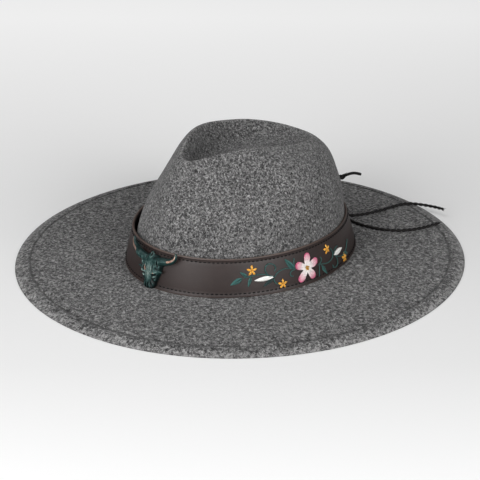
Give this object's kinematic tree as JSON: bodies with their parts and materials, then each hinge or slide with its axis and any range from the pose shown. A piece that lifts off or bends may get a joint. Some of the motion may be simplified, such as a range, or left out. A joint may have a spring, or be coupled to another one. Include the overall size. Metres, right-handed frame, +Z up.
{
  "type": "wide-brim fedora",
  "caption": "Felt hat with a wide round brim, a teardrop-dented crown, a leather band laced at the back and a cast longhorn skull.",
  "frame": {"origin": "under the middle of the brim, on the surface that the hat stands on", "axes": "+Z up through the crown, the front of the hat faces -Y, the wearer's left is +X"},
  "size_m": [0.377, 0.39, 0.1127],
  "materials": {
    "grey_felt": "speckled grey wool felt, matt",
    "brown_leather": "smooth dark brown, satin",
    "green_patina": "green patina over cast metal, worn on the edges",
    "black_lace": "black braided lace"
  },
  "bodies": {
    "root": {"crown_and_brim": "grey_felt", "hat_band": "brown_leather", "skull_ornament": "green_patina", "back_lace_upper": "black_lace", "back_lace_lower": "black_lace", "cord_end_far": "black_lace", "cord_end_near": "black_lace", "cord_tail": "black_lace"}
  },
  "joints": []
}
